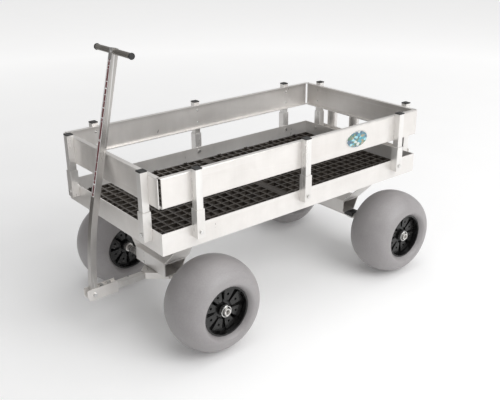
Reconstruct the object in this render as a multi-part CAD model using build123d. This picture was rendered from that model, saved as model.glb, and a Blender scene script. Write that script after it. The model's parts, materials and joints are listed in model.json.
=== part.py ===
from build123d import *
import os
from math import cos, radians, sin, tan

# Beach cart: aluminium tray with lift-out rail panels on four balloon wheels, steered by a pull handle.
# Millimetres. +X points forward to the handle, +Y to the cart's left, +Z up, ground at z = 0.
# Sections below work from the middle of the tray; save() moves everything so that the origin
# lies under the middle of the whole cart.

# ---- driving dimensions -------------------------------------------------------------------
# tray
DECK_LENGTH = 1078.0
DECK_WIDTH = 568.0
DECK_TOP = 424.0
DECK_HEIGHT = 66.5
DECK_WALL = 3.0
LEDGE = 30.0
# floor
GRATING_THICKNESS = 15.5
GRATING_CLEARANCE = 1.5
GRATING_BAR = 6.5
GRATING_LIP = 3.0
CELLS_ALONG = 16
CELLS_ACROSS = 17
CELLS_PER_LOOP = 4
LOOP_RADIUS = 7.0
JOINER_WIDTH = 19.0
JOINER_CLEARANCE = 0.5
BEARER_SPACING = 150.0
BEARER_COUNT = 5
BEARER_WIDTH = 30.0
BEARER_HEIGHT = 15.0
# stakes and their sockets
STAKE = 22.0
STAKE_WALL = 2.0
STAKE_TOP = 595.0
SOCKET_WALL = 2.3
SLIDE_CLEARANCE = 0.2
SEAT_CLEARANCE = 0.3
SOCKET_TOP = 477.5
SOCKET_LENGTH = 87.5
SIDE_STAKE_X = 425.0
MIDDLE_STAKE_X = 12.0
END_STAKE_Y = 220.0
CAP_OVERHANG = 1.0
CAP_THICKNESS = 4.0
CAP_PLUG = 10.0
# rail panels
PANEL_BOTTOM = 498.2
PANEL_HEIGHT = 88.9
PANEL_WALL = 2.5
PANEL_FLANGE = 15.0
PANEL_BEND = 3.5
SIDE_PANEL_SETBACK = 8.0
END_PANEL_SETBACK = 6.5
CORNER_CLEARANCE = 4.5
PANEL_BOLT_INSET = 22.0
# small fasteners
BOLT_CLEARANCE = 0.1
SOCKET_BOLT = 3.0
SOCKET_BOLT_RISE = 19.0
HEAD_HEIGHT = 4.0
PANEL_BOLT = 2.4
PANEL_BOLT_HEAD = 4.5
RIVET_HEAD_HEIGHT = 2.2
# badge
BADGE_LENGTH = 103.0
BADGE_HEIGHT = 56.0
BADGE_THICKNESS = 1.0
BADGE_X = -228.0
# wheels and axles
TYRE_RADIUS = 150.0
TYRE_WIDTH = 176.0
TYRE_WALL = 5.0
TYRE_SHOULDER = 95.0
BEAD_DEPTH = 27.0
RIM_RADIUS = 79.0
RIM_WALL = 5.0
RIM_WIDTH = 146.0
RIM_FIT = 0.1
WEB_THICKNESS = 9.0
WEB_RECESS = 24.0
HUB_RADIUS = 20.0
HUB_WIDTH = 124.0
LOBES = 8
SLOT_WIDTH = 7.0
LOBE_HEIGHT = 6.0
AXLE_RADIUS = 11.0
AXLE_WALL = 3.0
BEARING_FIT = 0.05
AXLE_OVERHANG = 15.0
COLLAR_RADIUS = 15.0
COLLAR_WIDTH = 10.0
HALF_TRACK = 282.0
FRONT_AXLE_X = 375.0
REAR_AXLE_X = -432.0
# axle boxes and the flared pedestals above them
BOX_WIDTH = 176.0
BOX_HEIGHT = 46.0
BOX_WALL = 3.0
BOX_FRONT = 42.0
BOX_BACK_TOP = 40.0
BOX_BACK_BOTTOM = 18.0
BOX_BOTTOM = 167.5
PEDESTAL_THICKNESS = 3.0
PEDESTAL_FLANGE = 30.0
PEDESTAL_BEND = 16.0
FRONT_PEDESTAL_TRIM = 50.0
REAR_PEDESTAL_TRIM = 10.0
SADDLE_WIDTH = 40.0
SADDLE_DEPTH = 34.0
SADDLE_Y = 92.0
STRAP_THICKNESS = 2.5
# steering
KINGPIN_RADIUS = 6.0
KINGPIN_AHEAD = 24.0
YOKE_THICKNESS = 3.0
YOKE_HEIGHT = 22.0
YOKE_HALF_WIDTH = 64.0
YOKE_NOSE_AHEAD = 70.0
YOKE_SHOULDER_AHEAD = 14.0
YOKE_BACK = 34.0
SWIVEL_GAP = 3.5
WASHER_RADIUS = 17.0
TONGUE_SIZE = 20.0
TONGUE_WALL = 2.5
TONGUE_FRONT_X = 603.0
TONGUE_BEHIND_AXLE_FACE = 2.0
# clevis and handle
CLEVIS_PLATE = 3.5
CLEVIS_HEIGHT = 39.0
CLEVIS_BACK_X = 545.0
CLEVIS_FRONT_X = 650.0
CLEVIS_WEB_FRONT_X = 607.0
CLEVIS_CORNER = 17.0
CLEVIS_CLEARANCE = 0.3
CLEVIS_BOLT_SPACING = 26.0
CLEVIS_BOLT = 4.0
PIVOT_X = 626.5
PIVOT_Z = 150.0
PIVOT_BOLT = 4.0
POST_SIZE = 20.0
POST_WALL = 1.5
POST_FOOT = 12.0
POST_LOWER_TILT = 4.0
POST_BEND = 9.25
POST_BEND_RADIUS = 1257.0
POST_LOWER_LENGTH = 100.0
POST_UPPER_LENGTH = 441.8
POST_ABOVE_BAR = 9.5
CROSSBAR_RADIUS = 8.4
CROSSBAR_WALL = 1.5
CROSSBAR_LENGTH = 194.0
CROSSBAR_FIT = 0.05
END_CAP_RADIUS = 9.8
END_CAP_THICKNESS = 5.0
END_CAP_PLUG = 15.0
LABEL_LENGTH = 405.0
LABEL_WIDTH = 15.0
LABEL_THICKNESS = 0.4
LABEL_BELOW_BAR = 24.0
# rod holders
ROD_HOLDER_RADIUS = 20.0
ROD_HOLDER_WALL = 2.0
ROD_HOLDER_BOTTOM = 345.0
ROD_HOLDER_TOP = 552.0
ROD_HOLDER_SPACING = 120.0
ROD_HOLDER_COUNT = 4
RAIL_HEIGHT = 30.0
RAIL_THICKNESS = 3.0
RAIL_OVERHANG = 18.0
# lynch pins
LYNCH_RADIUS = 3.0
LYNCH_RING = 17.0
LYNCH_WIRE = 1.6

# ---- places worked out from them ----------------------------------------------------------
HALF_LENGTH = DECK_LENGTH / 2
HALF_WIDTH = DECK_WIDTH / 2
DECK_BOTTOM = DECK_TOP - DECK_HEIGHT
FLOOR_BOTTOM = DECK_BOTTOM + DECK_WALL
FLOOR_TOP = FLOOR_BOTTOM + GRATING_THICKNESS
SOCKET = STAKE + 2 * SLIDE_CLEARANCE + 2 * SOCKET_WALL
STAKE_OFFSET = SOCKET / 2
PANEL_FACE = SOCKET_WALL + SLIDE_CLEARANCE
SOCKET_BOTTOM = SOCKET_TOP - SOCKET_LENGTH
BOLT_Z = SOCKET_BOTTOM + SOCKET_BOLT_RISE
STAKE_BOTTOM = BOLT_Z + SOCKET_BOLT + SEAT_CLEARANCE
SIDE_STAKES = (-SIDE_STAKE_X, MIDDLE_STAKE_X, SIDE_STAKE_X)
END_STAKES = (-END_STAKE_Y, END_STAKE_Y)
AXLE_Z = TYRE_RADIUS
KINGPIN_X = FRONT_AXLE_X + KINGPIN_AHEAD
YOKE_TOP = BOX_BOTTOM - SWIVEL_GAP
YOKE_UNDERSIDE = YOKE_TOP - YOKE_THICKNESS
TONGUE_Z = YOKE_UNDERSIDE - TONGUE_SIZE / 2
TONGUE_BACK_X = FRONT_AXLE_X + AXLE_RADIUS + TONGUE_BEHIND_AXLE_FACE
HUB_OUTER = HALF_TRACK + HUB_WIDTH / 2
AXLE_END = HUB_OUTER + AXLE_OVERHANG
RAIL_FACE_X = -HALF_LENGTH - SOCKET
ROD_HOLDER_X = RAIL_FACE_X - RAIL_THICKNESS - SEAT_CLEARANCE - ROD_HOLDER_RADIUS
RAIL_BOTTOM = BOLT_Z - RAIL_HEIGHT / 2
CART_BACK_X = ROD_HOLDER_X - ROD_HOLDER_RADIUS
MIDDLE_X = (CLEVIS_FRONT_X + CART_BACK_X) / 2

parts = {}


# ---- helpers --------------------------------------------------------------------------------
def block(x0, x1, y0, y1, z0, z1):
    """Box between two corners."""
    size = (abs(x1 - x0), abs(y1 - y0), abs(z1 - z0))
    return Pos((x0 + x1) / 2, (y0 + y1) / 2, (z0 + z1) / 2) * Box(*size)


def upright(x, y, z0, z1, radius):
    """Vertical cylinder."""
    return Pos(x, y, (z0 + z1) / 2) * Cylinder(radius, z1 - z0)


def along_y(x, y0, y1, z, radius):
    """Cylinder lying across the cart."""
    return Pos(x, (y0 + y1) / 2, z) * Rot(90, 0, 0) * Cylinder(radius, abs(y1 - y0))


def along_x(x0, x1, y, z, radius):
    """Cylinder lying along the cart."""
    return Pos((x0 + x1) / 2, y, z) * Rot(0, 90, 0) * Cylinder(radius, abs(x1 - x0))


def hexagon(radius, height):
    """Hexagonal prism about Z, standing on its origin."""
    return extrude(RegularPolygon(radius, 6), height)


def dome(radius, height):
    """Shallow domed head about Z, standing on its origin."""
    ball_radius = (radius * radius + height * height) / (2 * height)
    cap = Pos(0, 0, height - ball_radius) * Sphere(ball_radius)
    return cap & Pos(0, 0, height / 2) * Box(3 * radius, 3 * radius, height)


def square_tube(size, wall, z0, z1):
    """Upright square tube about the origin."""
    outer = block(-size / 2, size / 2, -size / 2, size / 2, z0, z1)
    inside = size / 2 - wall
    return outer - block(-inside, inside, -inside, inside, z0 - 1, z1 + 1)


def copies(shape, places):
    """One compound that holds a copy of the shape at each place."""
    solids = []
    for place in places:
        solids += (place * shape).solids()
    return Compound(children=solids)


def group(*shapes):
    """One compound of all the solids in the shapes."""
    solids = []
    for shape in shapes:
        solids += shape.solids()
    return Compound(children=solids)


def side_places(face):
    """Places of a long side's stakes; face is +1 for left, -1 for right. Local +Y points outward."""
    turn = 0 if face > 0 else 180
    return [Pos(x, face * HALF_WIDTH, 0) * Rot(0, 0, turn) for x in SIDE_STAKES]


def end_places(face):
    """Places of an end's stakes; face is +1 for front, -1 for rear. Local +Y points outward."""
    turn = -90 if face > 0 else 90
    return [Pos(face * HALF_LENGTH, y, 0) * Rot(0, 0, turn) for y in END_STAKES]


def socket_bolt_hole():
    """Hole through socket and wall, in the local frame of a stake's place."""
    return along_y(0, -2 * SOCKET, 2 * SOCKET, BOLT_Z, SOCKET_BOLT + BOLT_CLEARANCE)


# ---- tray -----------------------------------------------------------------------------------
def deck_side(face):
    """Long wall with a ledge along its foot that carries the floor."""
    outer = face * HALF_WIDTH
    inner = outer - face * DECK_WALL
    wall = block(-HALF_LENGTH, HALF_LENGTH, inner, outer, DECK_BOTTOM, DECK_TOP)
    reach = HALF_LENGTH - DECK_WALL
    ledge = block(-reach, reach, outer - face * LEDGE, inner, DECK_BOTTOM, FLOOR_BOTTOM)
    return wall + ledge - copies(socket_bolt_hole(), side_places(face))


def deck_end(face):
    """End wall that fits between the long walls."""
    outer = face * HALF_LENGTH
    inner = outer - face * DECK_WALL
    reach = HALF_WIDTH - DECK_WALL
    wall = block(inner, outer, -reach, reach, DECK_BOTTOM, DECK_TOP)
    reach = HALF_WIDTH - LEDGE
    ledge = block(outer - face * LEDGE, inner, -reach, reach, DECK_BOTTOM, FLOOR_BOTTOM)
    return wall + ledge - copies(socket_bolt_hole(), end_places(face))


def floor_bearers():
    """Inverted channels across the tray, level with the ledges."""
    reach = HALF_WIDTH - LEDGE
    half = BEARER_WIDTH / 2
    bottom = FLOOR_BOTTOM - BEARER_HEIGHT
    bearer = block(-half, half, -reach, reach, bottom, FLOOR_BOTTOM)
    inside = half - DECK_WALL
    bearer -= block(-inside, inside, -reach, reach, bottom, DECK_BOTTOM)
    middle = (BEARER_COUNT - 1) / 2
    return copies(bearer, [Pos((i - middle) * BEARER_SPACING, 0, 0) for i in range(BEARER_COUNT)])


def grating_tile(face):
    """Moulded grid of square cells with small interlocking loops along both long edges."""
    length = HALF_LENGTH - DECK_WALL - GRATING_CLEARANCE - JOINER_WIDTH / 2 - JOINER_CLEARANCE
    width = 2 * (HALF_WIDTH - DECK_WALL - GRATING_CLEARANCE)
    pitch_x = (length - GRATING_BAR) / CELLS_ALONG
    pitch_y = (width - GRATING_BAR) / CELLS_ACROSS
    cell = Rectangle(pitch_x - GRATING_BAR, pitch_y - GRATING_BAR)
    cells = [place * cell for place in GridLocations(pitch_x, pitch_y, CELLS_ALONG, CELLS_ACROSS)]
    holes = [hole.wire() for hole in cells]
    grid = extrude(Face(Rectangle(length, width).wire(), holes), GRATING_THICKNESS)
    loops = []
    for i in range(CELLS_ALONG // CELLS_PER_LOOP):
        x = (CELLS_PER_LOOP * (i + 0.5) - CELLS_ALONG / 2) * pitch_x
        for side in (-1, 1):
            ring = Cylinder(LOOP_RADIUS, GRATING_LIP) - Cylinder(LOOP_RADIUS / 2, GRATING_LIP)
            edge = side * width / 2
            half = ring & Pos(0, -side * LOOP_RADIUS, 0) * Box(4 * LOOP_RADIUS, 2 * LOOP_RADIUS, 9)
            loops.append(Pos(x, edge, GRATING_THICKNESS + GRATING_LIP / 2) * half)
    for loop in loops:
        grid += loop
    start = JOINER_WIDTH / 2 + JOINER_CLEARANCE
    return Pos(face * (start + length / 2), 0, FLOOR_BOTTOM) * grid


def floor_joiner():
    """Bar between the two floor tiles."""
    half = JOINER_WIDTH / 2
    reach = HALF_WIDTH - DECK_WALL - GRATING_CLEARANCE
    return block(-half, half, -reach, reach, FLOOR_BOTTOM, FLOOR_TOP)


def make_tray():
    parts["deck_side_left"] = deck_side(1)
    parts["deck_side_right"] = deck_side(-1)
    parts["deck_end_front"] = deck_end(1)
    parts["deck_end_rear"] = deck_end(-1)
    parts["floor_bearers"] = floor_bearers()
    parts["floor_grating_front"] = grating_tile(1)
    parts["floor_grating_rear"] = grating_tile(-1)
    parts["floor_joiner"] = floor_joiner()


# ---- sockets and bolts ----------------------------------------------------------------------
def socket():
    """Upright square socket against a wall whose outer face is the local plane y = 0."""
    tube = Pos(0, STAKE_OFFSET, 0) * square_tube(SOCKET, SOCKET_WALL, SOCKET_BOTTOM, SOCKET_TOP)
    return tube - socket_bolt_hole()


def through_bolt(spacer):
    """Bolt through socket and wall: hexagon head outside a spacer, nut inside the tray."""
    head = SOCKET + spacer
    shank = Pos(0, (head - DECK_WALL - HEAD_HEIGHT) / 2, BOLT_Z) * Rot(90, 0, 0)
    shank = shank * Cylinder(SOCKET_BOLT, head + DECK_WALL + HEAD_HEIGHT)
    outer = Pos(0, head, BOLT_Z) * Rot(-90, 0, 0) * hexagon(2 * SOCKET_BOLT, HEAD_HEIGHT)
    nut = Pos(0, -DECK_WALL, BOLT_Z) * Rot(90, 0, 0) * hexagon(2 * SOCKET_BOLT, HEAD_HEIGHT)
    return shank + outer + nut


def make_sockets():
    parts["side_sockets"] = group(copies(socket(), side_places(1)), copies(socket(), side_places(-1)))
    parts["end_sockets"] = group(copies(socket(), end_places(1)), copies(socket(), end_places(-1)))
    plain = copies(through_bolt(0), side_places(1) + side_places(-1) + end_places(1))
    through_rail = copies(through_bolt(RAIL_THICKNESS), end_places(-1))
    parts["socket_bolts"] = group(plain, through_rail)


# ---- rail panels ----------------------------------------------------------------------------
def panel(length, flange_length):
    """Channel along local X with its flanges pointing inward from the outer face at local y = 0."""
    middle = PANEL_BOTTOM + PANEL_HEIGHT / 2
    section = Rectangle(PANEL_FLANGE, PANEL_HEIGHT)
    outer_edges = section.vertices().sort_by(Axis.X)[-2:]
    section = fillet(outer_edges, PANEL_BEND)
    hollow = Rectangle(PANEL_FLANGE, PANEL_HEIGHT - 2 * PANEL_WALL)
    inner_edges = hollow.vertices().sort_by(Axis.X)[-2:]
    hollow = fillet(inner_edges, PANEL_BEND - PANEL_WALL)
    section -= Pos(-PANEL_WALL, 0) * hollow
    channel = extrude(Pos(-PANEL_FLANGE / 2, middle) * section, length / 2, both=True)
    channel = Rot(0, 0, 90) * Rot(90, 0, 0) * channel
    margin = (length - flange_length) / 2
    if margin > 0:
        for side in (-1, 1):
            x = side * (flange_length + margin) / 2
            channel -= Pos(x, -PANEL_WALL - PANEL_FLANGE / 2, middle) * Box(
                margin, PANEL_FLANGE, PANEL_HEIGHT)
    return channel


def stake_tube():
    """Stake against a panel, in the same local frame as the socket."""
    return Pos(0, STAKE_OFFSET, 0) * square_tube(STAKE, STAKE_WALL, STAKE_BOTTOM, STAKE_TOP)


def stake_cap():
    """Cap with a plug that fills the top of the stake."""
    half = STAKE / 2 + CAP_OVERHANG
    plate = block(-half, half, -half, half, STAKE_TOP, STAKE_TOP + CAP_THICKNESS)
    plate = fillet(plate.edges().filter_by(Axis.Z), 2)
    plate = chamfer(plate.faces().sort_by(Axis.Z)[-1].edges(), 1)
    inside = STAKE / 2 - STAKE_WALL
    plug = block(-inside, inside, -inside, inside, STAKE_TOP - CAP_PLUG, STAKE_TOP)
    return Pos(0, STAKE_OFFSET, 0) * (plate + plug)


def panel_bolt_heights():
    low = PANEL_BOTTOM + PANEL_BOLT_INSET
    return low, PANEL_BOTTOM + PANEL_HEIGHT - PANEL_BOLT_INSET


def panel_bolts():
    """Two bolts that hold a panel to one stake, with domed heads on the panel's inner face."""
    inner = PANEL_FACE - PANEL_WALL
    tail = PANEL_FACE + STAKE_WALL + 2
    bolts = []
    for z in panel_bolt_heights():
        shank = along_y(0, inner, tail, z, PANEL_BOLT)
        head = Pos(0, inner, z) * Rot(90, 0, 0) * dome(PANEL_BOLT_HEAD, RIVET_HEAD_HEIGHT)
        bolts.append(shank + head)
    return group(*bolts)


def bolt_holes(places):
    """Clearance for the panel bolts through panels and stakes."""
    end = PANEL_FACE + STAKE_WALL + 1
    radius = PANEL_BOLT + BOLT_CLEARANCE
    holes = group(*[along_y(0, -PANEL_WALL, end, z, radius) for z in panel_bolt_heights()])
    return copies(holes, places)


def make_rail(name, channel, places):
    """One rail: channel, stakes, caps and bolts."""
    holes = bolt_holes(places)
    parts[name + "_panel"] = channel - holes
    parts[name + "_stakes"] = group(*[(place * stake_tube()) - holes for place in places])
    parts[name + "_stake_caps"] = copies(stake_cap(), places)
    parts[name + "_panel_bolts"] = copies(panel_bolts(), places)


def make_rails():
    side_length = 2 * (HALF_LENGTH + PANEL_FACE - SIDE_PANEL_SETBACK)
    end_length = 2 * (HALF_WIDTH + PANEL_FACE - END_PANEL_SETBACK)
    flange_length = 2 * (HALF_WIDTH + PANEL_FACE - PANEL_FLANGE - CORNER_CLEARANCE)
    side = Pos(0, PANEL_FACE, 0) * panel(side_length, side_length)
    end = Pos(0, PANEL_FACE, 0) * panel(end_length, flange_length)
    make_rail("left", Pos(0, HALF_WIDTH, 0) * side, side_places(1))
    make_rail("right", Pos(0, -HALF_WIDTH, 0) * Rot(0, 0, 180) * side, side_places(-1))
    make_rail("front", Pos(HALF_LENGTH, 0, 0) * Rot(0, 0, -90) * end, end_places(1))
    make_rail("rear", Pos(-HALF_LENGTH, 0, 0) * Rot(0, 0, 90) * end, end_places(-1))
    plate = extrude(Ellipse(BADGE_LENGTH / 2, BADGE_HEIGHT / 2), BADGE_THICKNESS)
    z = PANEL_BOTTOM + PANEL_HEIGHT / 2
    parts["side_badge"] = Pos(BADGE_X, HALF_WIDTH + PANEL_FACE, z) * Rot(-90, 0, 0) * plate


# ---- axle boxes and pedestals ---------------------------------------------------------------
def axle_box(x):
    """Box across the cart with open ends; its back wall slopes."""
    top = BOX_BOTTOM + BOX_HEIGHT
    outer = [(BOX_FRONT, BOX_BOTTOM), (BOX_FRONT, top), (-BOX_BACK_TOP, top), (-BOX_BACK_BOTTOM, BOX_BOTTOM)]
    section = make_face(Polyline(*outer, close=True))
    section -= offset(section, -BOX_WALL, kind=Kind.INTERSECTION)
    return Pos(x, 0, 0) * (Plane.XZ * extrude(section, BOX_WIDTH / 2, both=True))


def pedestal(x, trim):
    """Bent strip that flares from the axle box up to the ledges; trim narrows it at the top back."""
    half = PEDESTAL_THICKNESS / 2
    low = BOX_BOTTOM + BOX_HEIGHT + half
    high = DECK_BOTTOM - half
    foot = BOX_WIDTH / 2
    shoulder = foot + high - low
    tip = shoulder + PEDESTAL_FLANGE
    route = [(-tip, high), (-shoulder, high), (-foot, low), (foot, low), (shoulder, high), (tip, high)]
    strip = trace(FilletPolyline(*route, radius=PEDESTAL_BEND), 2 * half)
    strip = Plane.YZ * extrude(strip, BOX_FRONT + BOX_BACK_TOP, both=True)
    shape = [(BOX_FRONT, low - half), (BOX_FRONT, DECK_BOTTOM), (trim - BOX_BACK_TOP, DECK_BOTTOM)]
    shape += [(-BOX_BACK_TOP, low + PEDESTAL_BEND), (-BOX_BACK_TOP, low - half)]
    side_view = make_face(Polyline(*shape, close=True))
    keep = Plane.XZ * extrude(side_view, DECK_WIDTH, both=True)
    return Pos(x, 0, 0) * (strip & keep)


def axle():
    """Round tube with a welded collar inboard of each wheel and a hole for each lynch pin."""
    tube = along_y(0, -AXLE_END, AXLE_END, AXLE_Z, AXLE_RADIUS)
    inner_face = HALF_TRACK - HUB_WIDTH / 2 - SEAT_CLEARANCE
    for side in (-1, 1):
        tube += along_y(0, side * (inner_face - COLLAR_WIDTH), side * inner_face, AXLE_Z, COLLAR_RADIUS)
    tube -= along_y(0, -AXLE_END, AXLE_END, AXLE_Z, AXLE_RADIUS - AXLE_WALL)
    pin_y = HUB_OUTER + SEAT_CLEARANCE + LYNCH_RADIUS
    for side in (-1, 1):
        tube -= upright(0, side * pin_y, 0, 2 * AXLE_Z, LYNCH_RADIUS + BOLT_CLEARANCE)
    return tube


def lynch_pin(side):
    """Pin down through the axle end with a flat head and a wire ring over the end of the axle."""
    pin_y = side * (HUB_OUTER + SEAT_CLEARANCE + LYNCH_RADIUS)
    head_bottom = AXLE_Z + AXLE_RADIUS + 1
    pin = upright(0, pin_y, AXLE_Z - AXLE_RADIUS - 4, head_bottom + 1, LYNCH_RADIUS)
    ring_y = pin_y + side * (LYNCH_RADIUS + LYNCH_WIRE)
    ring_z = head_bottom + 5 - LYNCH_RING
    head = block(-5, 5, pin_y - side * LYNCH_RADIUS, ring_y, head_bottom, head_bottom + 8)
    ring = Pos(0, ring_y, ring_z) * Rot(90, 0, 0) * Torus(LYNCH_RING, LYNCH_WIRE)
    return pin + head + ring


def make_rear_axle():
    x = REAR_AXLE_X
    parts["rear_pedestal"] = pedestal(x, REAR_PEDESTAL_TRIM)
    parts["rear_axle_box"] = axle_box(x)
    parts["rear_axle"] = Pos(x, 0, 0) * axle()
    half = SADDLE_DEPTH / 2
    bore = along_y(0, -HALF_TRACK, HALF_TRACK, AXLE_Z, AXLE_RADIUS + BEARING_FIT)
    saddle = block(-half, half, -SADDLE_WIDTH / 2, SADDLE_WIDTH / 2, AXLE_Z, BOX_BOTTOM) - bore
    places = [Pos(x, side * SADDLE_Y, 0) for side in (-1, 1)]
    parts["rear_axle_saddles"] = copies(saddle, places)
    width = SADDLE_WIDTH / 4
    outer = along_y(0, -width, width, AXLE_Z, AXLE_RADIUS + STRAP_THICKNESS)
    flange = block(-half, half, -width, width, AXLE_Z - STRAP_THICKNESS, AXLE_Z)
    below = block(-half, half, -width, width, 0, AXLE_Z)
    parts["rear_axle_straps"] = copies((outer + flange & below) - bore, places)
    parts["lynch_pins_rear"] = group(*[Pos(x, 0, 0) * lynch_pin(side) for side in (-1, 1)])


# ---- steering -------------------------------------------------------------------------------
def yoke_outline(inset):
    """Plan of the steering yoke, measured from the axle; the nose stays open to the tongue."""
    nose = TONGUE_SIZE / 2 + YOKE_THICKNESS - inset
    wide = YOKE_HALF_WIDTH - inset
    back = YOKE_BACK - inset
    front = YOKE_NOSE_AHEAD + (1 if inset else 0)
    shoulder = YOKE_SHOULDER_AHEAD - inset * tan(radians(21))
    points = [(front, nose), (shoulder, wide), (-back, wide), (-back, -wide), (shoulder, -wide)]
    return make_face(Polyline(*points, (front, -nose), close=True))


def yoke():
    """Pressed plate that carries the front axle and turns under the front axle box."""
    bottom = YOKE_TOP - YOKE_HEIGHT
    body = Pos(FRONT_AXLE_X, 0, bottom) * extrude(yoke_outline(0), YOKE_HEIGHT)
    hollow = extrude(yoke_outline(YOKE_THICKNESS), YOKE_HEIGHT - YOKE_THICKNESS)
    body -= Pos(FRONT_AXLE_X, 0, bottom) * hollow
    body -= along_y(FRONT_AXLE_X, -HALF_TRACK, HALF_TRACK, AXLE_Z, AXLE_RADIUS + BEARING_FIT)
    body -= upright(KINGPIN_X, 0, bottom, YOKE_TOP + 1, KINGPIN_RADIUS + BEARING_FIT)
    return body - tongue_bolt_holes()


def tongue_bolt_places():
    """Bolts that hold the tongue to the yoke, then to the clevis."""
    middle = (CLEVIS_BACK_X + CLEVIS_WEB_FRONT_X) / 2 + 6
    clevis = [middle - CLEVIS_BOLT_SPACING / 2, middle + CLEVIS_BOLT_SPACING / 2]
    return [KINGPIN_X + CLEVIS_BOLT_SPACING] + clevis


def tongue_bolt_holes():
    radius = CLEVIS_BOLT + BOLT_CLEARANCE
    return group(*[upright(x, 0, 0, 2 * AXLE_Z, radius) for x in tongue_bolt_places()])


def tongue():
    """Square tube from the yoke to the clevis."""
    bar = Rot(0, 90, 0) * square_tube(TONGUE_SIZE, TONGUE_WALL, TONGUE_BACK_X, TONGUE_FRONT_X)
    bar = Pos(0, 0, TONGUE_Z) * bar
    bar -= upright(KINGPIN_X, 0, 0, 2 * AXLE_Z, KINGPIN_RADIUS + BEARING_FIT)
    return bar - tongue_bolt_holes()


def clevis():
    """Two plates joined by a web on top of the tongue, open in front for the handle."""
    bottom = TONGUE_Z - CLEVIS_HEIGHT / 2
    top = bottom + CLEVIS_HEIGHT
    inner = TONGUE_SIZE / 2 + CLEVIS_CLEARANCE
    outer = inner + CLEVIS_PLATE
    plate = block(CLEVIS_BACK_X, CLEVIS_FRONT_X, -outer, outer, bottom, top)
    front_foot = plate.edges().filter_by(Axis.Y).group_by(Axis.Z)[0].sort_by(Axis.X)[-1]
    plate = fillet(front_foot, CLEVIS_CORNER)
    front_top = plate.edges().filter_by(Axis.Y).group_by(Axis.Z)[-1].sort_by(Axis.X)[-1]
    plate = fillet(front_top, CLEVIS_CORNER / 4)
    plate -= block(CLEVIS_BACK_X - 1, CLEVIS_FRONT_X + 1, -inner, inner, bottom - 1, YOKE_UNDERSIDE)
    web_top = YOKE_UNDERSIDE + CLEVIS_PLATE
    plate -= block(CLEVIS_BACK_X - 1, CLEVIS_FRONT_X + 1, -inner, inner, web_top, top + 1)
    plate -= block(CLEVIS_WEB_FRONT_X, CLEVIS_FRONT_X + 1, -inner, inner, bottom - 1, top + 1)
    plate -= along_y(PIVOT_X, -outer - 1, outer + 1, PIVOT_Z, PIVOT_BOLT + BOLT_CLEARANCE)
    return plate - tongue_bolt_holes()


def tongue_bolts():
    """Hexagon-headed bolts down through the tongue, each with a nut below."""
    bolts = []
    for i, x in enumerate(tongue_bolt_places()):
        seat = YOKE_TOP if i == 0 else YOKE_UNDERSIDE + CLEVIS_PLATE
        height = SWIVEL_GAP - 0.5 if i == 0 else 6.0
        foot = TONGUE_Z - TONGUE_SIZE / 2
        shank = upright(x, 0, foot - 6, seat, CLEVIS_BOLT)
        head = Pos(x, 0, seat) * hexagon(1.8 * CLEVIS_BOLT, height)
        nut = Pos(x, 0, foot - 5) * hexagon(1.8 * CLEVIS_BOLT, 5)
        bolts.append(shank + head + nut)
    return group(*bolts)


def pivot_bolt():
    """Cross bolt that the handle turns on, with a head on the left plate and a nut on the right."""
    face = TONGUE_SIZE / 2 + CLEVIS_CLEARANCE + CLEVIS_PLATE
    shank = along_y(PIVOT_X, -face - 7, face, PIVOT_Z, PIVOT_BOLT)
    head = Pos(PIVOT_X, face, PIVOT_Z) * Rot(-90, 0, 0) * hexagon(1.8 * PIVOT_BOLT, 5)
    nut = Pos(PIVOT_X, -face, PIVOT_Z) * Rot(90, 0, 0) * hexagon(1.8 * PIVOT_BOLT, 6)
    return shank + head + nut


def kingpin():
    """Vertical pivot bolt with its head inside the front axle box, and its nut under the tongue."""
    seat = BOX_BOTTOM + BOX_WALL
    foot = TONGUE_Z - TONGUE_SIZE / 2 - SEAT_CLEARANCE
    shank = upright(KINGPIN_X, 0, foot - 12, seat, KINGPIN_RADIUS)
    head = Pos(KINGPIN_X, 0, seat) * hexagon(1.7 * KINGPIN_RADIUS, 8)
    nut = Pos(KINGPIN_X, 0, foot - 10) * hexagon(1.6 * KINGPIN_RADIUS, 10)
    return group(shank + head + nut)


def make_steering():
    parts["front_pedestal"] = pedestal(FRONT_AXLE_X, FRONT_PEDESTAL_TRIM)
    foot = BOX_BOTTOM - 2 * SWIVEL_GAP
    hole = upright(KINGPIN_X, 0, foot, BOX_BOTTOM + 2 * BOX_WALL, KINGPIN_RADIUS + BOLT_CLEARANCE)
    parts["front_axle_box"] = axle_box(FRONT_AXLE_X) - hole
    parts["kingpin"] = kingpin()
    washer = upright(KINGPIN_X, 0, YOKE_TOP + SEAT_CLEARANCE, BOX_BOTTOM, WASHER_RADIUS)
    parts["swivel_washer"] = washer - hole
    parts["steering_yoke"] = yoke()
    parts["front_axle"] = Pos(FRONT_AXLE_X, 0, 0) * axle()
    parts["tongue_bar"] = tongue()
    parts["tongue_clevis"] = clevis()
    parts["tongue_bolts"] = tongue_bolts()
    parts["handle_pivot_bolt"] = pivot_bolt()
    parts["lynch_pins_front"] = group(*[Pos(FRONT_AXLE_X, 0, 0) * lynch_pin(s) for s in (-1, 1)])


# ---- handle ---------------------------------------------------------------------------------
def post_line(foot, head):
    """Side view of the handle's centre line, from below the pivot to above the crossbar."""
    low = radians(90 + POST_LOWER_TILT)
    up = (cos(low), sin(low))
    start = (PIVOT_X - foot * up[0], PIVOT_Z - foot * up[1])
    lower = Line(start, (PIVOT_X + POST_LOWER_LENGTH * up[0], PIVOT_Z + POST_LOWER_LENGTH * up[1]))
    bend = JernArc(lower @ 1, lower % 1, POST_BEND_RADIUS, POST_BEND)
    upper = Line(bend @ 1, (bend @ 1) + (bend % 1) * (POST_UPPER_LENGTH + head))
    return lower, bend, upper


def crossbar_centre():
    upper = post_line(0, 0)[2]
    return upper @ 1, upper % 1


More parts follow.
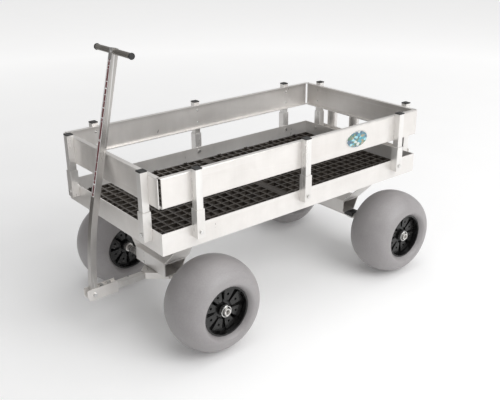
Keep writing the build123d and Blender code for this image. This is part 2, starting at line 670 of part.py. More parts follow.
def post_solid(size, foot, head):
    """Solid of the given square section along the handle's centre line."""
    lower, bend, upper = post_line(foot, head)
    side_view = trace(Wire([lower.edge(), bend.edge(), upper.edge()]), size)
    return Plane.XZ * extrude(side_view, size / 2, both=True)


def handle_post():
    """Bent square tube with holes for the pivot bolt, the crossbar and its bolt."""
    post = post_solid(POST_SIZE, POST_FOOT, POST_ABOVE_BAR)
    post -= post_solid(POST_SIZE - 2 * POST_WALL, POST_FOOT + 1, POST_ABOVE_BAR + 1)
    post -= along_y(PIVOT_X, -POST_SIZE, POST_SIZE, PIVOT_Z, PIVOT_BOLT + BEARING_FIT)
    centre = crossbar_centre()[0]
    post -= along_y(centre.X, -POST_SIZE, POST_SIZE, centre.Y, CROSSBAR_RADIUS + CROSSBAR_FIT)
    return post - crossbar_bolt_hole()


def across_post(distance):
    """Place on the crossbar's centre line with local Z pointing forward out of the post's front."""
    centre, up = crossbar_centre()
    frame = Plane(origin=(centre.X, 0, centre.Y), x_dir=(up.X, 0, up.Y), z_dir=(up.Y, 0, -up.X))
    return frame.location * Pos(0, 0, distance)


def crossbar_bolt_hole():
    return across_post(0) * Cylinder(PANEL_BOLT + BOLT_CLEARANCE, 3 * POST_SIZE)


def crossbar_bolt():
    """Round-headed bolt through the post and the crossbar."""
    length = POST_SIZE + 4
    shank = across_post(-2) * Cylinder(PANEL_BOLT, length)
    head = across_post(POST_SIZE / 2) * dome(PANEL_BOLT_HEAD, RIVET_HEAD_HEIGHT)
    nut = across_post(-POST_SIZE / 2) * Rot(180, 0, 0) * hexagon(PANEL_BOLT_HEAD, 3)
    return shank + head + nut


def end_cap(side):
    """Cap with a plug inside the crossbar's end."""
    centre = crossbar_centre()[0]
    end = side * CROSSBAR_LENGTH / 2
    plate = along_y(centre.X, end, end + side * END_CAP_THICKNESS, centre.Y, END_CAP_RADIUS)
    outer_edge = plate.edges().filter_by(GeomType.CIRCLE).sort_by(Axis.Y)[-1 if side > 0 else 0]
    plate = fillet(outer_edge, END_CAP_THICKNESS / 2)
    plug_radius = CROSSBAR_RADIUS - CROSSBAR_WALL - CROSSBAR_FIT
    plug = along_y(centre.X, end, end - side * END_CAP_PLUG, centre.Y, plug_radius)
    return plate + plug


def make_handle():
    parts["handle_post"] = handle_post()
    centre = crossbar_centre()[0]
    half = CROSSBAR_LENGTH / 2
    bar = along_y(centre.X, -half, half, centre.Y, CROSSBAR_RADIUS)
    bar -= along_y(centre.X, -half, half, centre.Y, CROSSBAR_RADIUS - CROSSBAR_WALL)
    parts["handle_crossbar"] = bar - crossbar_bolt_hole()
    parts["handle_end_caps"] = group(end_cap(-1), end_cap(1))
    parts["crossbar_bolt"] = crossbar_bolt()
    middle = -(LABEL_BELOW_BAR + LABEL_LENGTH / 2)
    label = Pos(middle, 0, LABEL_THICKNESS / 2) * Box(LABEL_LENGTH, LABEL_WIDTH, LABEL_THICKNESS)
    parts["handle_label"] = across_post(POST_SIZE / 2) * label


# ---- wheels ---------------------------------------------------------------------------------
def balloon(inset):
    """Half section of the balloon tyre in (radius, width), shrunk by inset, down to the rim."""
    half = TYRE_WIDTH / 2 - inset
    crown = Ellipse(TYRE_RADIUS - TYRE_SHOULDER - inset, half)
    flank = Ellipse(BEAD_DEPTH - inset, half)
    above = Pos(TYRE_RADIUS, 0) * Rectangle(2 * TYRE_RADIUS, 2 * TYRE_WIDTH)
    below = Pos(-TYRE_RADIUS, 0) * Rectangle(2 * TYRE_RADIUS, 2 * TYRE_WIDTH)
    return Pos(TYRE_SHOULDER, 0) * ((crown & above) + (flank & below))


def revolved(section):
    """Turn a (radius, width) section about the wheel's axis, which is local Y."""
    return revolve(section, Axis.Y, 360)


def tyre():
    """Hollow balloon, open towards the rim."""
    reach = Pos(RIM_RADIUS + TYRE_RADIUS, 0) * Rectangle(2 * TYRE_RADIUS, 2 * TYRE_WIDTH)
    return revolved((balloon(0) - balloon(TYRE_WALL)) & reach)


def ring_section(inner, outer, low, high):
    """Rectangle in (radius, width)."""
    return Pos((inner + outer) / 2, (low + high) / 2) * Rectangle(outer - inner, high - low)


def lobe():
    """Wedge-shaped pad on the face of the web with a screw hole."""
    outer = RIM_RADIUS - RIM_WALL - 4
    inner = HUB_RADIUS + 9
    half = radians(360 / LOBES / 2 - 6)
    points = [(inner, -inner * tan(half)), (outer, -outer * tan(half))]
    points += [(outer, outer * tan(half)), (inner, inner * tan(half))]
    pad = make_face(Polyline(*points, close=True))
    pad = fillet(pad.vertices(), 5)
    return extrude(pad - Pos((inner + outer) / 2, 0) * Circle(4), LOBE_HEIGHT)


def half_rim():
    """Half of the rim on the +Y side: barrel, web with slots, and hub."""
    face = RIM_WIDTH / 2 - WEB_RECESS
    section = ring_section(RIM_RADIUS - RIM_WALL, RIM_RADIUS - RIM_FIT, 0, RIM_WIDTH / 2)
    section += ring_section(HUB_RADIUS - 2, RIM_RADIUS - RIM_WALL + 1, face - WEB_THICKNESS, face)
    section += ring_section(AXLE_RADIUS + BEARING_FIT, HUB_RADIUS, 0, HUB_WIDTH / 2)
    rim = revolved(section)
    slot = Box(RIM_RADIUS - RIM_WALL - HUB_RADIUS - 12, WEB_THICKNESS + 2, SLOT_WIDTH)
    middle = (RIM_RADIUS - RIM_WALL + HUB_RADIUS) / 2
    for i in range(LOBES):
        turn = 360 / LOBES * i
        rim -= Rot(0, turn, 0) * Pos(middle, face - WEB_THICKNESS / 2, 0) * slot
        pad = Pos(0, face, 0) * Rot(-90, 0, 0) * lobe()
        rim += Rot(0, turn + 180 / LOBES, 0) * pad
    return rim


def make_wheels():
    outer = half_rim()
    rim = group(outer, Rot(0, 0, 180) * outer)
    rubber = tyre()
    for end, x in (("front", FRONT_AXLE_X), ("rear", REAR_AXLE_X)):
        for side, y in (("left", HALF_TRACK), ("right", -HALF_TRACK)):
            place = Pos(x, y, AXLE_Z)
            parts["tyre_" + end + "_" + side] = place * rubber
            parts["rim_" + end + "_" + side] = place * rim


# ---- rod holders ----------------------------------------------------------------------------
def rod_holder_places():
    middle = (ROD_HOLDER_COUNT - 1) / 2
    return [(i - middle) * ROD_HOLDER_SPACING for i in range(ROD_HOLDER_COUNT)]


def rivet_heights():
    return BOLT_Z - RAIL_HEIGHT / 4, BOLT_Z + RAIL_HEIGHT / 4


def rivet_holes(y):
    """Holes for one rod holder's rivets, through the rail and the near wall of the holder."""
    radius = PANEL_BOLT + BOLT_CLEARANCE
    return group(*[along_x(ROD_HOLDER_X, RAIL_FACE_X + 1, y, z, radius) for z in rivet_heights()])


def rail_rivets(y):
    """Two rivets that join one rod holder to the rail."""
    rivets = []
    outer = RAIL_FACE_X
    inner = ROD_HOLDER_X + ROD_HOLDER_RADIUS - ROD_HOLDER_WALL
    for z in rivet_heights():
        shank = along_x(inner, outer, y, z, PANEL_BOLT)
        front = Pos(outer, y, z) * Rot(0, 90, 0) * dome(PANEL_BOLT_HEAD, RIVET_HEAD_HEIGHT)
        rivets.append(shank + front)
    return group(*rivets)


def make_rod_holders():
    y_reach = END_STAKE_Y + RAIL_OVERHANG
    back = RAIL_FACE_X - RAIL_THICKNESS
    rail = block(back, RAIL_FACE_X, -y_reach, y_reach, RAIL_BOTTOM, RAIL_BOTTOM + RAIL_HEIGHT)
    for y in END_STAKES:
        rail -= along_x(back - 1, RAIL_FACE_X + 1, y, BOLT_Z, SOCKET_BOLT + BOLT_CLEARANCE)
    rivets = group(*[rail_rivets(y) for y in rod_holder_places()])
    holders = []
    for y in rod_holder_places():
        outer = upright(ROD_HOLDER_X, y, ROD_HOLDER_BOTTOM, ROD_HOLDER_TOP, ROD_HOLDER_RADIUS)
        bore = ROD_HOLDER_RADIUS - ROD_HOLDER_WALL
        tube = outer - upright(ROD_HOLDER_X, y, ROD_HOLDER_BOTTOM, ROD_HOLDER_TOP, bore)
        holders.append(tube - rivet_holes(y))
        rail -= rivet_holes(y)
    parts["rod_holders"] = group(*holders)
    parts["rod_holder_rail"] = group(rail, rivets)


def save():
    """Write one STEP file for each part, with the origin under the middle of the whole cart."""
    os.makedirs("parts", exist_ok=True)
    for name, shape in parts.items():
        moved = Pos(-MIDDLE_X, 0, 0) * shape
        export_step(moved, "parts/" + name + ".step")


make_tray()
make_sockets()
make_rails()
make_rear_axle()
make_steering()
make_handle()
make_wheels()
make_rod_holders()
save()
print(len(parts), "parts, middle of the cart at x =", MIDDLE_X)
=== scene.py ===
import json
import math

import bmesh
import bpy
from mathutils import Matrix, Vector


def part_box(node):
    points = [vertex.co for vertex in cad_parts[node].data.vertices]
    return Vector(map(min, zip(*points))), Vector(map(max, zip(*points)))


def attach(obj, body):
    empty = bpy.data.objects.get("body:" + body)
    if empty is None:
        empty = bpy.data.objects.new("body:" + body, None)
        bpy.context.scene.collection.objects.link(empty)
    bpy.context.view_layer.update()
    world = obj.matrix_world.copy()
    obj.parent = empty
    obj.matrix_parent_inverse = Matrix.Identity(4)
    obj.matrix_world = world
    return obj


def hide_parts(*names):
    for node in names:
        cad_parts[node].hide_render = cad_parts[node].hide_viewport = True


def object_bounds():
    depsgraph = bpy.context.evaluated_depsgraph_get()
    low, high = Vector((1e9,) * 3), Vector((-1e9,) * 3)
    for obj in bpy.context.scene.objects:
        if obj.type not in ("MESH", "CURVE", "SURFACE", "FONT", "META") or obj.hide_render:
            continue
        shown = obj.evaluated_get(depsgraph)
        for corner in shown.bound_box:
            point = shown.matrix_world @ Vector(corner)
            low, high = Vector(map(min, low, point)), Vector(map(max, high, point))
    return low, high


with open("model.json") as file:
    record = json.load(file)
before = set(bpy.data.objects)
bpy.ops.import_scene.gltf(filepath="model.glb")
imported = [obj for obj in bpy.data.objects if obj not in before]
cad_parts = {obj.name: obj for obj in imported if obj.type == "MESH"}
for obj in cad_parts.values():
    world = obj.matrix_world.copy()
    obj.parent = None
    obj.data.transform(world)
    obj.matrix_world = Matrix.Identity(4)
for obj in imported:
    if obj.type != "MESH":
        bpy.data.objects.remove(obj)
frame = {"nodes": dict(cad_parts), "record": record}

CAD_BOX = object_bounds()
BODIES = frame["record"]["behaviour"]["bodies"]
NODE_BODY = {node: body for body, nodes in BODIES.items() for node in nodes}
NODE_SLOT = {part["node"]: part["material_slot"] for part in frame["record"]["subparts"]}
MM = 0.001


# ---- materials ------------------------------------------------------------------------------
EVEN = (1, 1, 1)                                # object coordinates with no stretch
COLOR_A, COLOR_B, COLOR_RESULT = 6, 7, 2        # the Mix node's colour sockets


class Nodes:
    """Short calls for building one material's node tree."""

    def __init__(self, name):
        self.material = bpy.data.materials.new(name)
        self.material.use_nodes = True
        self.tree = self.material.node_tree
        self.shader = self.tree.nodes["Principled BSDF"]

    def add(self, kind, **settings):
        node = self.tree.nodes.new(kind)
        for key, value in settings.items():
            setattr(node, key, value)
        return node

    def join(self, output, target):
        self.tree.links.new(output, target)

    def coordinates(self, scale, turn=(0, 0, 0)):
        """Object coordinates stretched by scale, after a turn."""
        source = self.add("ShaderNodeTexCoord")
        mapping = self.add("ShaderNodeMapping")
        mapping.inputs["Scale"].default_value = scale
        mapping.inputs["Rotation"].default_value = turn
        self.join(source.outputs["Object"], mapping.inputs["Vector"])
        return mapping.outputs["Vector"]

    def noise(self, vector, scale, detail=3.0, rough=0.55, warp=0.0):
        node = self.add("ShaderNodeTexNoise")
        node.inputs["Scale"].default_value = scale
        node.inputs["Detail"].default_value = detail
        node.inputs["Roughness"].default_value = rough
        node.inputs["Distortion"].default_value = warp
        self.join(vector, node.inputs["Vector"])
        return node.outputs["Fac"]

    def spread(self, value, low, high, start=0.35, end=0.65):
        """Value between start and end stretched to low..high, and held there outside."""
        node = self.add("ShaderNodeMapRange")
        node.inputs["From Min"].default_value = start
        node.inputs["From Max"].default_value = end
        node.inputs["To Min"].default_value = low
        node.inputs["To Max"].default_value = high
        self.join(value, node.inputs["Value"])
        return node.outputs["Result"]

    def blend(self, factor, first, second):
        """First colour to second colour as factor goes from 0 to 1."""
        node = self.add("ShaderNodeMix", data_type="RGBA")
        self.put(factor, node.inputs["Factor"])
        self.put(first, node.inputs[COLOR_A])
        self.put(second, node.inputs[COLOR_B])
        return node.outputs[COLOR_RESULT]

    def put(self, value, target):
        """Link an output, or set a constant."""
        if isinstance(value, bpy.types.NodeSocket):
            self.join(value, target)
        elif isinstance(value, tuple):
            target.default_value = (*value, 1.0)
        else:
            target.default_value = value

    def math(self, operation, first, second):
        node = self.add("ShaderNodeMath", operation=operation)
        self.put(first, node.inputs[0])
        self.put(second, node.inputs[1])
        return node.outputs[0]

    def bump(self, height, strength, distance):
        node = self.add("ShaderNodeBump")
        node.inputs["Strength"].default_value = strength
        node.inputs["Distance"].default_value = distance
        self.join(height, node.inputs["Height"])
        self.join(node.outputs["Normal"], self.shader.inputs["Normal"])

    def surface(self, color, roughness, metallic=0.0, **constants):
        self.put(color, self.shader.inputs["Base Color"])
        self.put(roughness, self.shader.inputs["Roughness"])
        self.shader.inputs["Metallic"].default_value = metallic
        for name, value in constants.items():
            self.shader.inputs[name.replace("_", " ")].default_value = value
        return self.material


def edge_wear_and_highlight(nodes, low, high):
    """0..1 on convex edges, from the surface's pointiness; the mill aluminium uses it for a painted edge
    highlight, the moulded plastic for rubbed wear.
    """
    geometry = nodes.add("ShaderNodeNewGeometry")
    return nodes.spread(geometry.outputs["Pointiness"], 0.0, 1.0, low, high)


def mill_aluminium(name, light, dark, grain, rough, metallic=0.55):
    """Mill-finish aluminium: faint drawn grain, upright streaks painted in as soft reflections that also
    vary the roughness, cloudy oxide and a painted highlight on convex edges.
    """
    nodes = Nodes(name)
    fine = nodes.noise(nodes.coordinates(grain), 9.0, 4.0, 0.6)
    cloud = nodes.noise(nodes.coordinates(EVEN), 7.0, 4.0, 0.6, 0.3)
    # Upright streaks: painted soft reflections in the colour, and real changes in the roughness below.
    reflection_and_roughness_streak = nodes.noise(nodes.coordinates((8, 8, 0.5)), 5.0, 3.0, 0.6)
    tone = nodes.math("ADD", nodes.math("MULTIPLY", cloud, 0.75), nodes.math("MULTIPLY", reflection_and_roughness_streak, 0.25))
    color = nodes.blend(nodes.spread(tone, 0.0, 1.0), dark, light)
    color = nodes.blend(nodes.spread(fine, 0.0, 0.04), color, (0.90, 0.88, 0.86))
    # Convex edges lightened towards near-white: a painted edge highlight.
    bright = edge_wear_and_highlight(nodes, 0.52, 0.62)
    color = nodes.blend(nodes.math("MULTIPLY", bright, 0.5), color, (0.93, 0.93, 0.92))
    streaked = nodes.spread(reflection_and_roughness_streak, rough - 0.04, rough + 0.05)
    shine = nodes.math("ADD", streaked, nodes.spread(cloud, -0.03, 0.04))
    nodes.bump(fine, 0.015, 0.2 * MM)
    return nodes.surface(color, shine, metallic)


def moulded_plastic(name, color, pale, rough):
    """Moulded plastic with a fine spark-eroded grain and paler rubbed edges."""
    nodes = Nodes(name)
    fine = nodes.noise(nodes.coordinates(EVEN), 900.0, 2.0, 0.6)
    cloud = nodes.noise(nodes.coordinates(EVEN), 24.0, 4.0, 0.6)
    rubbed = nodes.math("MULTIPLY", edge_wear_and_highlight(nodes, 0.50, 0.60), nodes.spread(cloud, 0.2, 0.8))
    base = nodes.blend(nodes.spread(cloud, 0.0, 0.45), color, pale)
    base = nodes.blend(rubbed, base, pale)
    nodes.bump(fine, 0.35, 0.12 * MM)
    return nodes.surface(base, nodes.spread(cloud, rough - 0.06, rough + 0.08))


def bright_steel():
    nodes = Nodes("bright_steel_turned")
    fine = nodes.noise(nodes.coordinates(EVEN), 420.0, 3.0, 0.6)
    spots = nodes.noise(nodes.coordinates(EVEN), 90.0, 4.0, 0.65)
    color = nodes.blend(nodes.spread(spots, 0.0, 1.0), (0.62, 0.61, 0.59), (0.80, 0.80, 0.79))
    nodes.bump(fine, 0.15, 0.2 * MM)
    return nodes.surface(color, nodes.spread(spots, 0.20, 0.36), 1.0)


def grey_tyre():
    """Grey polyurethane balloon: satin skin, faint flow marks round the wheel and a fine pale speckle."""
    nodes = Nodes("grey_polyurethane")
    skin = nodes.noise(nodes.coordinates(EVEN), 260.0, 3.0, 0.6)
    cloud = nodes.noise(nodes.coordinates(EVEN), 6.0, 5.0, 0.6, 0.4)
    flow = nodes.noise(nodes.coordinates((2, 30, 2)), 4.0, 3.0, 0.5)
    tone = nodes.math("ADD", nodes.math("MULTIPLY", cloud, 0.85), nodes.math("MULTIPLY", flow, 0.15))
    color = nodes.blend(nodes.spread(tone, 0.0, 1.0), TYRE_DARK, TYRE_LIGHT)
    color = nodes.blend(nodes.spread(skin, 0.0, 0.12), color, (0.55, 0.54, 0.53))
    nodes.bump(nodes.math("ADD", skin, nodes.math("MULTIPLY", flow, 0.35)), 0.12, 0.3 * MM)
    return nodes.surface(color, nodes.spread(tone, 0.40, 0.52), 0.0, Coat_Weight=0.12, Coat_Roughness=0.35)


def dark_tube():
    nodes = Nodes("dark_anodised_tube")
    fine = nodes.noise(nodes.coordinates((40, 2, 40)), 12.0, 4.0, 0.6)
    cloud = nodes.noise(nodes.coordinates(EVEN), 30.0, 4.0, 0.6)
    color = nodes.blend(nodes.spread(cloud, 0.0, 1.0), (0.16, 0.145, 0.125), (0.25, 0.235, 0.21))
    color = nodes.blend(nodes.math("MULTIPLY", edge_wear_and_highlight(nodes, 0.52, 0.62), 0.6), color, (0.5, 0.49, 0.47))
    nodes.bump(fine, 0.12, 0.3 * MM)
    return nodes.surface(color, nodes.spread(fine, 0.34, 0.5), 0.7)


def nylon():
    nodes = Nodes("white_nylon_turned")
    cloud = nodes.noise(nodes.coordinates(EVEN), 60.0, 4.0, 0.6)
    color = nodes.blend(nodes.spread(cloud, 0.0, 1.0), (0.72, 0.71, 0.67), (0.86, 0.85, 0.82))
    nodes.bump(cloud, 0.1, 0.3 * MM)
    return nodes.surface(color, nodes.spread(cloud, 0.38, 0.5), 0.0, Subsurface_Weight=0.05)


def tape_label(tilt):
    """White tape with plain dark red bars of uneven length along it, parted by a few gaps."""
    nodes = Nodes("printed_tape")
    split = nodes.add("ShaderNodeSeparateXYZ")
    nodes.join(nodes.coordinates(EVEN, (0, tilt, 0)), split.inputs[0])
    line = nodes.add("ShaderNodeCombineXYZ")
    nodes.join(split.outputs["Z"], line.inputs["Z"])
    bars = nodes.noise(line.outputs[0], 105.0, 2.0, 0.7)
    runs = nodes.noise(line.outputs[0], 6.5, 0.0, 0.5)
    printed = nodes.spread(runs, 0.0, 1.0, 0.36, 0.38)
    ink = nodes.math("MULTIPLY", nodes.spread(bars, 0.0, 1.0, 0.41, 0.43), printed)
    off_middle = nodes.math("ABSOLUTE", split.outputs["Y"], 0.0)
    ink = nodes.math("MULTIPLY", ink, nodes.math("LESS_THAN", off_middle, INK_HALF_WIDTH))
    cloud = nodes.noise(nodes.coordinates(EVEN), 40.0, 4.0, 0.6)
    paper = nodes.blend(nodes.spread(cloud, 0.0, 1.0), (0.90, 0.89, 0.88), (0.96, 0.95, 0.94))
    color = nodes.blend(ink, paper, (0.17, 0.035, 0.04))
    nodes.bump(cloud, 0.08, 0.3 * MM)
    return nodes.surface(color, nodes.spread(cloud, 0.32, 0.42), 0.0, Coat_Weight=0.3)


def badge_mosaic():
    """Glossy mosaic of sea colours with a few sand and leaf tones."""
    nodes = Nodes("badge_mosaic")
    cells = nodes.add("ShaderNodeTexVoronoi", feature="F1")
    cells.inputs["Scale"].default_value = 1.0
    nodes.join(nodes.coordinates((85, 85, 130)), cells.inputs["Vector"])
    split = nodes.add("ShaderNodeSeparateColor")
    nodes.join(cells.outputs["Color"], split.inputs[0])
    ramp = nodes.add("ShaderNodeValToRGB")
    ramp.color_ramp.interpolation = "CONSTANT"
    tones = [(0.010, 0.08, 0.16), (0.02, 0.27, 0.36), (0.30, 0.62, 0.68), (0.62, 0.66, 0.62),
             (0.04, 0.13, 0.06), (0.015, 0.14, 0.20), (0.30, 0.24, 0.12)]
    elements = ramp.color_ramp.elements
    while len(elements) < len(tones):
        elements.new(0.5)
    for i, tone in enumerate(tones):
        elements[i].position = i / len(tones)
        elements[i].color = (*tone, 1.0)
    nodes.join(split.outputs[0], ramp.inputs["Fac"])
    shade = nodes.noise(nodes.coordinates(EVEN), 120.0, 3.0, 0.6)
    color = nodes.blend(nodes.spread(shade, 0.0, 0.15), ramp.outputs["Color"], (0.6, 0.7, 0.7))
    nodes.bump(cells.outputs["Distance"], 0.15, 0.4 * MM)
    return nodes.surface(color, nodes.spread(shade, 0.12, 0.2), 0.0, Coat_Weight=0.8, Coat_Roughness=0.05)


LABEL_TILT = math.radians(13.25)                # how far the parked handle leans back above its bend
INK_HALF_WIDTH = 4.8 * MM
TYRE_DARK = (0.29, 0.274, 0.277)
TYRE_LIGHT = (0.35, 0.334, 0.337)
SHEET_TONES = (0.83, 0.80, 0.77), (0.70, 0.67, 0.64)
TUBE_TONES = (0.80, 0.775, 0.745), (0.66, 0.635, 0.61)
HANDLE_TONES = (0.44, 0.42, 0.40), (0.34, 0.325, 0.31)
GRATING_TONES = (0.013, 0.010, 0.008), (0.045, 0.036, 0.028)
CAP_TONES = (0.012, 0.012, 0.012), (0.05, 0.05, 0.05)
RIM_TONES = (0.006, 0.006, 0.006), (0.022, 0.021, 0.02)
SHEET_GRAIN = (2, 2, 40)
TUBE_GRAIN = (110, 110, 2)
HANDLE_MATERIAL = mill_aluminium("handle_tube", *HANDLE_TONES, TUBE_GRAIN, 0.30, 0.8)
MATERIALS = {
    "aluminium_sheet": mill_aluminium("mill_sheet", *SHEET_TONES, SHEET_GRAIN, 0.34),
    "aluminium_tube": mill_aluminium("drawn_tube", *TUBE_TONES, TUBE_GRAIN, 0.30),
    "bright_steel": bright_steel(),
    "floor_plastic": moulded_plastic("floor_grid_plastic", *GRATING_TONES, 0.42),
    "black_plastic": moulded_plastic("cap_plastic", *CAP_TONES, 0.42),
    "wheel_plastic": moulded_plastic("rim_plastic", *RIM_TONES, 0.24),
    "grey_tyre": grey_tyre(),
    "white_nylon": nylon(),
    "dark_tube": dark_tube(),
    "label_tape": tape_label(LABEL_TILT),
    "badge_gloss": badge_mosaic(),
}


# ---- pieces ---------------------------------------------------------------------------------
WELD_DISTANCE = 0.002 * MM
COPLANAR_ANGLE = math.radians(0.4)
SHARP_ANGLE = math.radians(35)


def put_material(obj, material):
    obj.data.materials.clear()
    obj.data.materials.append(material)


def new_piece(name, mesh, body, slot, *nodes):
    """Link a mesh as a piece that rides on a body and stands for the nodes."""
    obj = bpy.data.objects.new(name, mesh)
    bpy.context.scene.collection.objects.link(obj)
    put_material(obj, MATERIALS[slot])
    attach(obj, body)
    if nodes:
        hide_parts(*nodes)
    return obj


def softened(node, width):
    """The CAD node's own shape with its sharp edges broken by a small radius."""
    work = bmesh.new()
    work.from_mesh(frame["nodes"][node].data)
    bmesh.ops.remove_doubles(work, verts=work.verts, dist=WELD_DISTANCE)
    bmesh.ops.dissolve_limit(
        work, angle_limit=COPLANAR_ANGLE, verts=work.verts, edges=work.edges, delimit={"NORMAL"})
    mesh = bpy.data.meshes.new(node + "_finished")
    work.to_mesh(mesh)
    work.free()
    for name in ("custom_normal", "sharp_edge", "sharp_face"):
        if name in mesh.attributes:
            mesh.attributes.remove(mesh.attributes[name])
    mesh.shade_smooth()
    piece = new_piece(node + "_finished", mesh, NODE_BODY[node], NODE_SLOT[node], node)
    bevel = piece.modifiers.new("broken_edges", "BEVEL")
    bevel.width = width
    bevel.segments = 2
    bevel.limit_method = "ANGLE"
    bevel.angle_limit = SHARP_ANGLE
    flat = piece.modifiers.new("flat_faces", "WEIGHTED_NORMAL")
    flat.weight = 60
    return piece


def swept_ring(profile, steps, centre):
    """Surface of revolution about Y through centre from closed (radius, offset) points."""
    work = bmesh.new()
    rings = []
    for i in range(steps):
        turn = 2 * math.pi * i / steps
        c, s = math.cos(turn), math.sin(turn)
        places = [(centre.x + r * s, centre.y + y, centre.z + r * c) for r, y in profile]
        rings.append([work.verts.new(place) for place in places])
    count = len(profile)
    for i in range(steps):
        here, there = rings[i], rings[(i + 1) % steps]
        for j in range(count):
            k = (j + 1) % count
            work.faces.new((here[j], here[k], there[k], there[j]))
    bmesh.ops.recalc_face_normals(work, faces=work.faces)
    mesh = bpy.data.meshes.new("ring")
    work.to_mesh(mesh)
    work.free()
    mesh.shade_smooth()
    return mesh


# ---- tyres ----------------------------------------------------------------------------------
RIM_RADIUS = 79 * MM
SHOULDER = 95 * MM
BEAD_DEPTH = 27 * MM
CROWN_STEPS = 40
BEAD_STEPS = 8
TYRE_WALL = 5 * MM
TURN_STEPS = 128


def tyre_profile(radius, half):
    """Closed section of the hollow balloon: the outer skin from bead to bead, then the inner skin."""
    outer = []
    crown = radius - SHOULDER
    bead_angle = math.asin((SHOULDER - RIM_RADIUS) / BEAD_DEPTH)
    for i in range(BEAD_STEPS):
        a = -bead_angle * (1 - i / BEAD_STEPS)
        outer.append((SHOULDER + BEAD_DEPTH * math.sin(a), -half * math.cos(a)))
    for i in range(CROWN_STEPS + 1):
        a = math.pi * i / CROWN_STEPS
        outer.append((SHOULDER + crown * math.sin(a), -half * math.cos(a)))
    for i in range(1, BEAD_STEPS + 1):
        a = -bead_angle * i / BEAD_STEPS
        outer.append((SHOULDER + BEAD_DEPTH * math.sin(a), half * math.cos(a)))
    deeper = 1 - TYRE_WALL / crown
    narrower = 1 - TYRE_WALL / half
    inner = [(SHOULDER + (r - SHOULDER) * deeper, y * narrower) for r, y in reversed(outer)]
    inner = [(max(r, RIM_RADIUS), y) for r, y in inner]
    return outer + inner


def make_tyres():
    for end in ("front", "rear"):
        for side in ("left", "right"):
            node = "tyre_%s_%s" % (end, side)
            low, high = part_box(node)
            centre = (low + high) / 2
            half = (high.y - low.y) / 2
            radius = (high.z - low.z) / 2
            mesh = swept_ring(tyre_profile(radius, half), TURN_STEPS, centre)
            mesh.name = node + "_balloon"
            new_piece(node + "_balloon", mesh, NODE_BODY[node], "grey_tyre", node)


# ---- badge ----------------------------------------------------------------------------------
OVAL_STEPS = 72


def oval_shell(name, node, rise, slot, *nodes):
    """Oval plate on the badge's back: rise holds each ring's share of the oval and its height."""
    low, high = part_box(node)
    centre = (low + high) / 2
    a, b = (high.x - low.x) / 2, (high.z - low.z) / 2
    work = bmesh.new()
    rings = []
    for share, height in rise:
        ring = []
        for i in range(OVAL_STEPS):
            t = 2 * math.pi * i / OVAL_STEPS
            across, up = share * a * math.cos(t), share * b * math.sin(t)
            ring.append(work.verts.new((centre.x + across, low.y + height, centre.z + up)))
        rings.append(ring)
    for lower, upper in zip(rings, rings[1:]):
        for i in range(OVAL_STEPS):
            j = (i + 1) % OVAL_STEPS
            work.faces.new((lower[i], lower[j], upper[j], upper[i]))
    work.faces.new(rings[-1])
    work.faces.new(list(reversed(rings[0])))
    bmesh.ops.recalc_face_normals(work, faces=work.faces)
    mesh = bpy.data.meshes.new(name)
    work.to_mesh(mesh)
    work.free()
    mesh.shade_smooth()
    return new_piece(name, mesh, NODE_BODY[node], slot, *nodes)


def make_badge():
    border = [(1.0, 0.0), (1.0, 0.7 * MM), (0.985, 1.0 * MM), (0.93, 1.0 * MM), (0.92, 0.6 * MM)]
    dome = [(0.915, 0.0), (0.915, 0.75 * MM), (0.88, 0.9 * MM), (0.7, 0.97 * MM), (0.4, 1.0 * MM)]
    oval_shell("badge_border", "side_badge", border, "bright_steel")
    oval_shell("badge_face", "side_badge", dome, "badge_gloss", "side_badge")


# ---- everything made from the CAD shapes -----------------------------------------------------
EDGE_WIDTH = {
    "aluminium_sheet": 0.5 * MM,
    "aluminium_tube": 0.6 * MM,
    "floor_plastic": 1.0 * MM,
    "black_plastic": 0.5 * MM,
    "wheel_plastic": 0.8 * MM,
    "bright_steel": 0.3 * MM,
    "white_nylon": 0.3 * MM,
    "dark_tube": 0.3 * MM,
}


def make_finished():
    for node, slot in NODE_SLOT.items():
        if node.startswith("tyre_") or node == "side_badge":
            continue
        if slot in EDGE_WIDTH:
            piece = softened(node, EDGE_WIDTH[slot])
            if node == "handle_post":
                put_material(piece, HANDLE_MATERIAL)
        else:
            put_material(frame["nodes"][node], MATERIALS[slot])


make_tyres()
make_badge()
make_finished()


# ---- studio ---------------------------------------------------------------------------------
FLOOR_REACH = 14.0
FLOOR_DROP = 0.5 * MM
CARD_START = Vector((0.68, -0.98, 0.0))
CARD_END = Vector((1.60, -0.24, 0.0))
CARD_HEIGHT = Vector((0, 0, 0.8))
LIGHTS = {
    "key_left": {"place": (-0.6, 3.6, 3.0), "target": (0, 0, 0.4), "size": (3.6, 2.4), "watts": 104},
    "top": {"place": (-0.6, 0.6, 4.0), "target": (0, 0, 0), "size": (4.5, 4.5), "watts": 90},
}
WORLD_STRENGTH = 0.34
CAMERA_PLACE = Vector((1441.65, 1809.0, 1254.0)) * MM
CAMERA_HEADING = Vector((-0.5819, -0.7185, -0.381))
CAMERA_LENS = 51.2
CAMERA_ROLL = math.radians(-0.49)


def stage_mesh(name, corners, material):
    """One flat face of the studio, which isn't part of the cart."""
    mesh = bpy.data.meshes.new(name)
    mesh.from_pydata(corners, [], [(0, 1, 2, 3)])
    obj = bpy.data.objects.new(name, mesh)
    bpy.context.scene.collection.objects.link(obj)
    put_material(obj, material)
    return obj


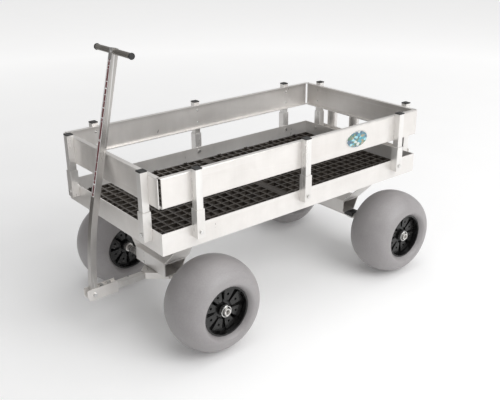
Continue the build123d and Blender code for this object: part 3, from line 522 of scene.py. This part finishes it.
def stage_floor():
    """Pale floor that glows more the further it is from the cart, like a lit sweep."""
    nodes = Nodes("studio_floor")
    cloud = nodes.noise(nodes.coordinates(EVEN), 3.0, 3.0, 0.5)
    color = nodes.blend(nodes.spread(cloud, 0.0, 1.0), (0.92, 0.92, 0.92), (0.935, 0.935, 0.935))
    material = nodes.surface(color, 0.7, Emission_Color=(1.0, 0.995, 0.99, 1.0))
    away = nodes.add("ShaderNodeVectorMath", operation="LENGTH")
    nodes.join(nodes.coordinates((1, 1, 0)), away.inputs[0])
    glow = nodes.spread(away.outputs["Value"], 0.08, 0.50, 1.0, 4.5)
    nodes.join(glow, nodes.shader.inputs["Emission Strength"])
    reach = FLOOR_REACH
    corners = [(-reach, -reach, 0), (reach, -reach, 0), (reach, reach, 0), (-reach, reach, 0)]
    floor = stage_mesh("studio_floor", corners, material)
    floor.location.z = CAD_BOX[0][2] - FLOOR_DROP


def shade_card():
    """Dark card ahead of the front right wheel that shows only in the cart's reflections."""
    nodes = Nodes("card_felt")
    felt = nodes.noise(nodes.coordinates(EVEN), 200.0, 3.0, 0.6)
    material = nodes.surface(nodes.blend(felt, (0.10, 0.09, 0.08), (0.14, 0.13, 0.12)), 0.9)
    corners = [CARD_START, CARD_END, CARD_END + CARD_HEIGHT, CARD_START + CARD_HEIGHT]
    card = stage_mesh("shade_card", corners, material)
    card.visible_camera = False
    card.visible_shadow = False
    card.visible_diffuse = False


def area_light(name, place, target, size, watts):
    data = bpy.data.lights.new(name, "AREA")
    data.shape = "RECTANGLE"
    data.size, data.size_y = size
    data.energy = watts
    light = bpy.data.objects.new(name, data)
    bpy.context.scene.collection.objects.link(light)
    light.location = place
    light.rotation_euler = (Vector(target) - Vector(place)).to_track_quat("-Z", "Y").to_euler()


def make_studio():
    stage_floor()
    shade_card()
    for name, settings in LIGHTS.items():
        area_light(name, **settings)
    world = bpy.data.worlds.new("studio")
    bpy.context.scene.world = world
    world.use_nodes = True
    background = world.node_tree.nodes["Background"]
    background.inputs["Color"].default_value = (1, 1, 1, 1)
    background.inputs["Strength"].default_value = WORLD_STRENGTH
    bpy.context.scene.view_settings.view_transform = "Standard"


def make_camera():
    """Camera at the photographed angle: ahead and to the left of the cart, looking down a little."""
    data = bpy.data.cameras.new("camera")
    data.sensor_width = 36.0
    data.lens = CAMERA_LENS
    camera = bpy.data.objects.new("camera", data)
    bpy.context.scene.collection.objects.link(camera)
    turn = CAMERA_HEADING.to_track_quat("-Z", "Y").to_matrix().to_4x4()
    camera.matrix_world = Matrix.Translation(CAMERA_PLACE) @ turn @ Matrix.Rotation(CAMERA_ROLL, 4, "Z")
    bpy.context.scene.camera = camera


make_studio()
make_camera()
